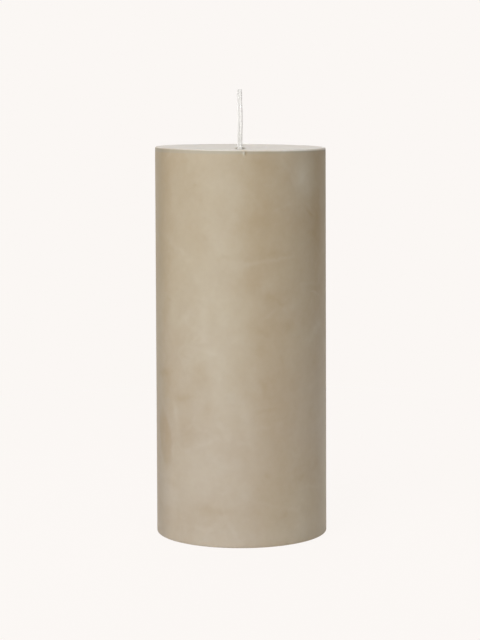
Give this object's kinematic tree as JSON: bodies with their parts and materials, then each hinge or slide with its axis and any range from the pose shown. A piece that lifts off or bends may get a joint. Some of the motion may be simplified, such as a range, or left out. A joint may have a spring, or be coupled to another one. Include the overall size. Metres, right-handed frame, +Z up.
{
  "type": "pillar candle",
  "caption": "Plain round pillar candle of cast wax with a flat top and an unlit plaited cotton wick that stands straight up from the middle.",
  "frame": {"origin": "middle of the base, on the surface that the candle stands on", "axes": "+Z up along the candle's axis, from the base to the wick; +Y away from the picture's camera, +X to its right"},
  "size_m": [0.0708, 0.0708, 0.1842],
  "materials": {
    "wax": "satin",
    "cotton": "matte"
  },
  "bodies": {
    "root": {"wax_body": "wax", "wick": "cotton"}
  },
  "joints": []
}
